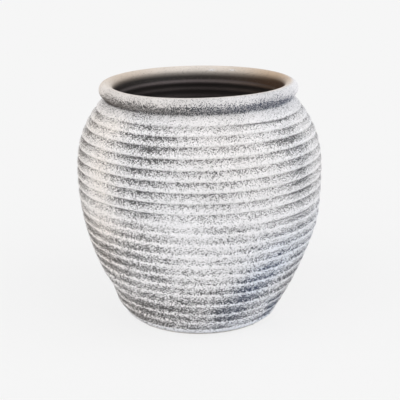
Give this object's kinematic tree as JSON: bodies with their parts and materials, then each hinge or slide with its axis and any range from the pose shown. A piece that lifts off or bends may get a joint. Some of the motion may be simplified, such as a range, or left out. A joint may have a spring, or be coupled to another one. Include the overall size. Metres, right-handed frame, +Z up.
{
  "type": "honeypot planter",
  "caption": "Round stoneware plant pot with a ribbed barrel belly, rolled rim, speckled matt glaze, drain hole with a pull-out rubber bung, and rubber pads under its foot.",
  "frame": {"origin": "on the ground, under the middle of the pot", "axes": "+Z up along the pot's axis; the picture looks along +Y"},
  "size_m": [0.32, 0.32, 0.312],
  "materials": {
    "speckled_stoneware": "matt white glaze sprayed over a dark slip, brown inside",
    "bung_rubber": "moulded matt",
    "pad_rubber": "moulded matt"
  },
  "bodies": {
    "pot": {"pot_body": "speckled_stoneware", "foot_pad_1": "pad_rubber", "foot_pad_2": "pad_rubber", "foot_pad_3": "pad_rubber", "foot_pad_4": "pad_rubber"},
    "bung": {"drain_bung": "bung_rubber"}
  },
  "joints": [
    {"name": "bung_lift", "type": "slide", "parent": "pot", "child": "bung", "axis": [0, 0, 1], "range_m": [0, 0.33]}
  ]
}
